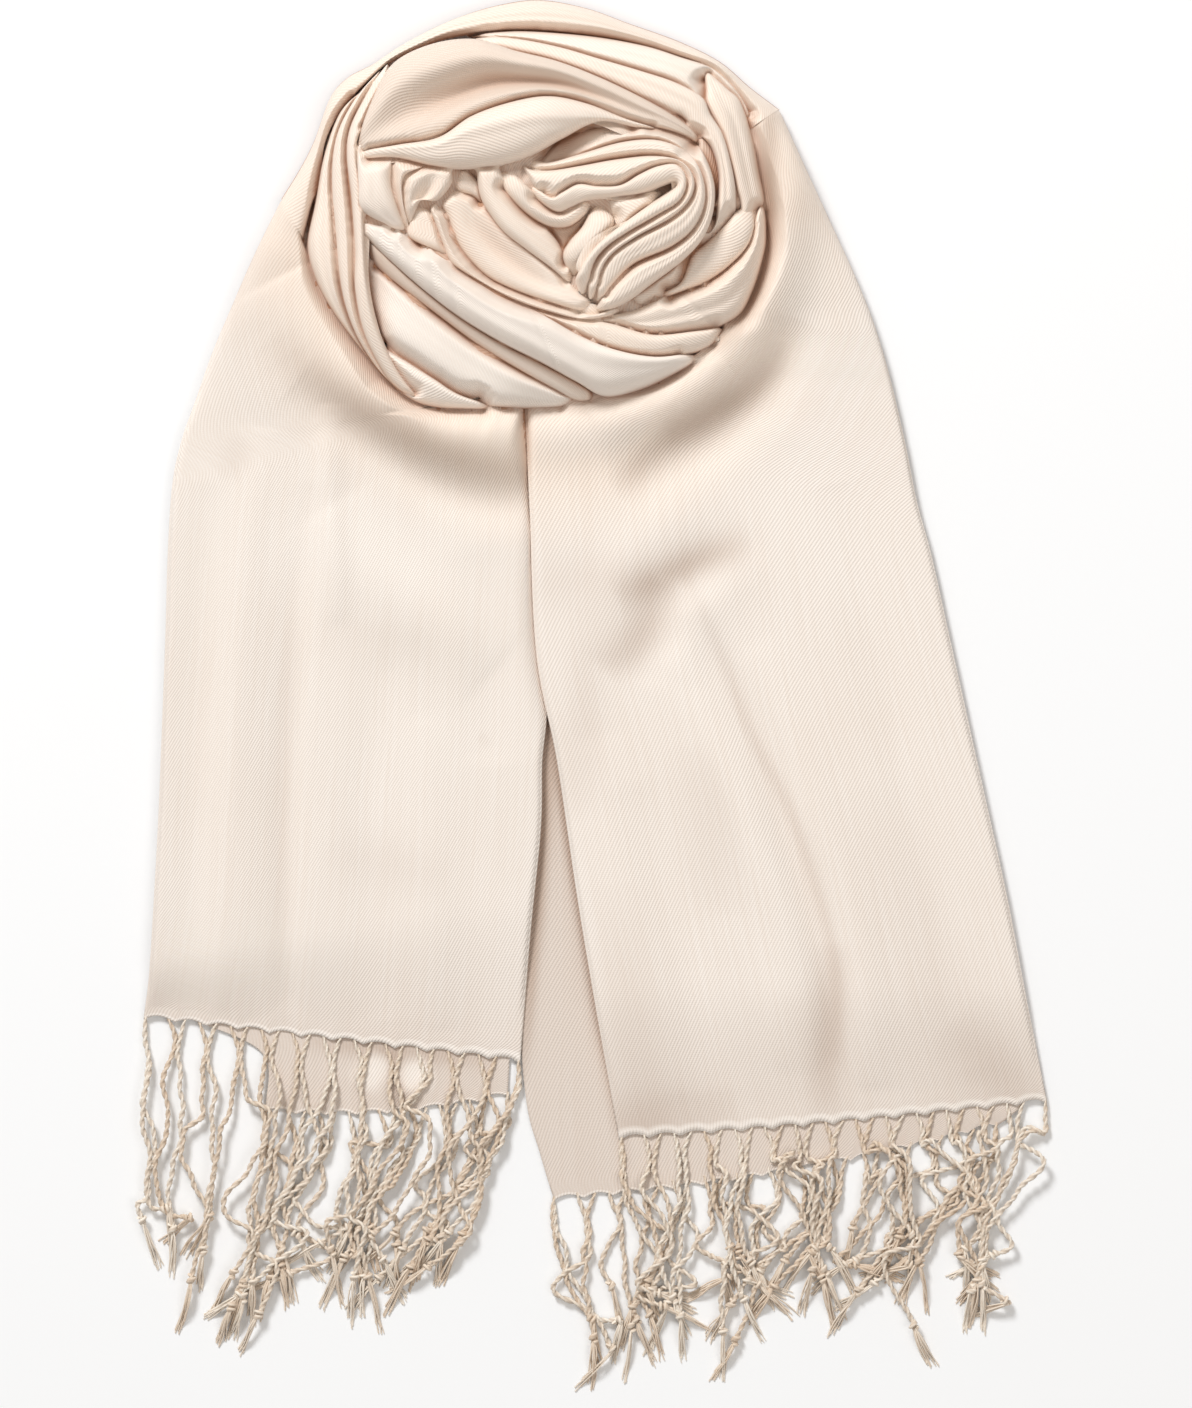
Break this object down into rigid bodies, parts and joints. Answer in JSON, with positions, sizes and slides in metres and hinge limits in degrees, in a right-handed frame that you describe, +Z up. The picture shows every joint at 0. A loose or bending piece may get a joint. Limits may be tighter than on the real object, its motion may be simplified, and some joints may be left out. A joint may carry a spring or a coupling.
{
  "type": "head wrap shawl",
  "caption": "Fringed shawl laid flat: the middle is wound into a low layered coil and both ends, folded lengthwise, lie side by side with knotted fringe.",
  "frame": {"origin": "middle of the base of the whole laid-out wrap, on the surface it lies on", "axes": "+Z up from the surface, +Y from the fringe towards the coil, +X to the right seen from above"},
  "size_m": [0.3892, 0.595, 0.0473],
  "materials": {
    "cloth": "soft satin twill, ivory",
    "yarn": "twisted matt yarn, beige"
  },
  "bodies": {
    "root": {"flap_rolled_edge": "cloth", "top_flap": "cloth", "ruffle_left": "cloth", "ruffle_middle": "cloth", "ruffle_right": "cloth", "spiral_1": "cloth", "spiral_2": "cloth", "spiral_3": "cloth", "spiral_4": "cloth", "pocket_tab": "cloth", "slit_lip": "cloth", "pocket_rim": "cloth", "centre_fold": "cloth", "pocket_floor": "cloth", "wedge": "cloth", "twill_panel": "cloth", "narrow_strip": "cloth", "leaf_inner": "cloth", "front_leaf": "cloth", "front_pleat": "cloth", "lower_band": "cloth", "lower_right_fold": "cloth", "lower_right_band": "cloth", "inner_right_band": "cloth", "flap_end": "cloth", "right_band": "cloth", "outer_top_band": "cloth", "pleat_inner": "cloth", "pleat_middle": "cloth", "pleat_outer": "cloth", "front_crescent": "cloth", "lowest_front": "cloth", "outer_wrap": "cloth", "coil_inner_layers": "cloth", "left_tail_front": "cloth", "left_tail_inner_layers": "cloth", "left_tail_back": "cloth", "right_tail_front": "cloth", "right_tail_inner_layers": "cloth", "right_tail_back": "cloth", "left_back_fringe": "yarn", "left_front_fringe": "yarn", "right_back_fringe": "yarn", "right_front_fringe": "yarn"}
  },
  "joints": []
}
